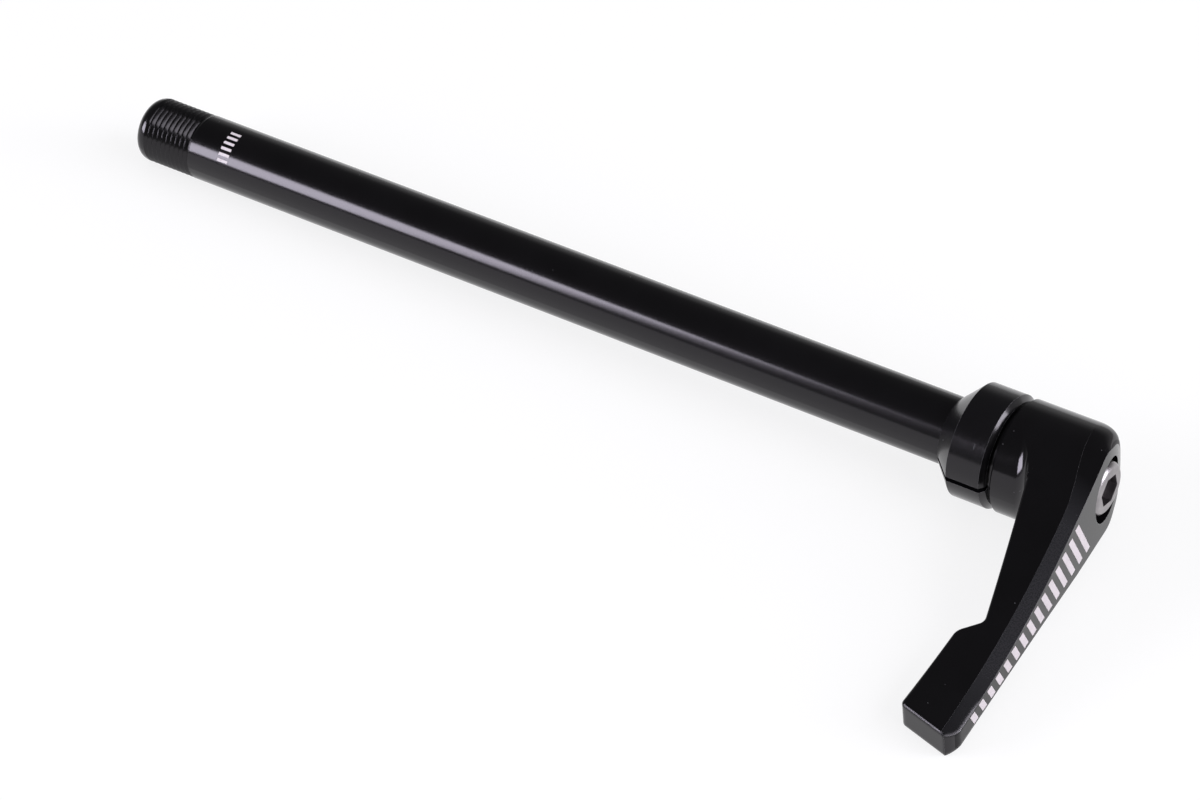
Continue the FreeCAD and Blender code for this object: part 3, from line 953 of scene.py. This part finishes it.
def floor():
    """A wide pale floor that the axle rests on."""
    bm = bmesh.new()
    bmesh.ops.create_circle(bm, cap_ends=True, segments=FLOOR_SIDES, radius=FLOOR_RADIUS)
    for vertex in bm.verts:
        fall = FLOOR_FALL * vertex.co.y + FLOOR_TILT * vertex.co.x
        vertex.co.z = FLOOR_HEIGHT * MM + fall
    made = new_object("floor", mesh_from(bm, "floor"))
    dress(made, floor_finish("floor_pale"))


def light_panel(name, azimuth, elevation, width, height, colour, strength, in_gloss=True):
    """A flat light panel that faces the axle, of that angular width and height."""
    half_across = math.tan(math.radians(width / 2)) * LIGHT_DISTANCE
    half_up = math.tan(math.radians(height / 2)) * LIGHT_DISTANCE
    bm = bmesh.new()
    corners = ((-1, -1), (1, -1), (1, 1), (-1, 1))
    bm.faces.new([bm.verts.new((x * half_across, y * half_up, 0.0)) for x, y in corners])
    made = new_object(name, mesh_from(bm, name))
    away = direction(azimuth, elevation)
    made.location = point(*LIGHT_TARGET) + away * LIGHT_DISTANCE
    made.rotation_mode = "QUATERNION"
    made.rotation_quaternion = (-away).to_track_quat("-Z", "Y")
    made.visible_camera = False
    made.visible_glossy = in_gloss
    dress(made, panel_finish(name + "_glow", colour, strength))


def studio():
    """Soft light panels round the axle."""
    light_panel(
        "key_panel",
        azimuth=135.0,
        elevation=20.2,
        width=33.0,
        height=23.6,
        colour=(0.92, 0.90, 1.0),
        strength=13.0,
    )
    light_panel(
        "rear_panel",
        azimuth=-20.0,
        elevation=13.5,
        width=24.0,
        height=21.0,
        colour=(0.95, 0.94, 1.0),
        strength=11.0,
    )
    light_panel(
        "rear_high_panel",
        azimuth=-6.0,
        elevation=37.0,
        width=56.0,
        height=26.0,
        colour=(0.95, 0.94, 1.0),
        strength=4.4,
    )
    light_panel(
        "top_panel",
        azimuth=0.0,
        elevation=90.0,
        width=70.0,
        height=70.0,
        colour=(1.0, 1.0, 1.0),
        strength=0.6,
        in_gloss=False,
    )


def dim_room():
    """A dim room with a pale wall behind the axle."""
    world = bpy.data.worlds.new("dim_room")
    bpy.context.scene.world = world
    world.use_nodes = True
    tree = world.node_tree
    tree.nodes.clear()
    output = tree.nodes.new("ShaderNodeOutputWorld")
    way = tree.nodes.new("ShaderNodeTexCoord").outputs["Generated"]
    parts = add_node(tree, "ShaderNodeSeparateXYZ", Vector=way)
    height = parts.outputs["Z"]
    beside = spread(tree, parts.outputs["X"], *WALL_SIDE, 0.0, WALL_GLOW)
    below = spread(tree, height, *WALL_TOP, 1.0, 0.0)
    wall = math_node(tree, "MULTIPLY", beside, below)
    ramp = tree.nodes.new("ShaderNodeValToRGB")
    tree.links.new(spread(tree, height, *SKY_HEIGHT, 0.0, 1.0), ramp.inputs["Fac"])
    while len(ramp.color_ramp.elements) < len(SKY_STOPS):
        ramp.color_ramp.elements.new(0.5)
    for element, (place, level) in zip(ramp.color_ramp.elements, SKY_STOPS):
        element.position = place
        element.color = (level, level, level, 1.0)
    sky = add_node(tree, "ShaderNodeBackground")
    tree.links.new(math_node(tree, "ADD", ramp.outputs["Color"], wall), sky.inputs["Strength"])
    tree.links.new(sky.outputs["Background"], output.inputs["Surface"])


def camera():
    """The photograph's camera."""
    data = bpy.data.cameras.new("photo_camera")
    data.lens = CAMERA_LENS
    data.sensor_width = CAMERA_SENSOR
    data.clip_start, data.clip_end = CAMERA_CLIP
    made = new_object("photo_camera", data)
    axes = Matrix((CAMERA_RIGHT, CAMERA_UP, CAMERA_BACK)).transposed()
    made.matrix_world = Matrix.Translation(point(*CAMERA_PLACE)) @ axes.to_4x4()
    bpy.context.scene.camera = made


def main():
    """Builds the scene."""
    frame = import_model()
    nodes = frame["nodes"]

    shaft = threaded_shaft(nodes["axle_shaft"])
    dress(shaft, shaft_finish())
    dress(nodes["split_collar"], collar_finish())
    lever = finished_lever(nodes["lever"])
    dress(lever, lever_finish())
    dress(nodes["lever_bolt"], satin_steel("bolt_satin_steel"))
    pale = pale_print("pale_print")
    dress(lever_print(lever), pale)
    dress(shaft_print(), pale)

    floor()
    studio()
    dim_room()
    camera()
    bpy.context.scene.view_settings.view_transform = "Standard"

    bpy.context.view_layer.update()


main()
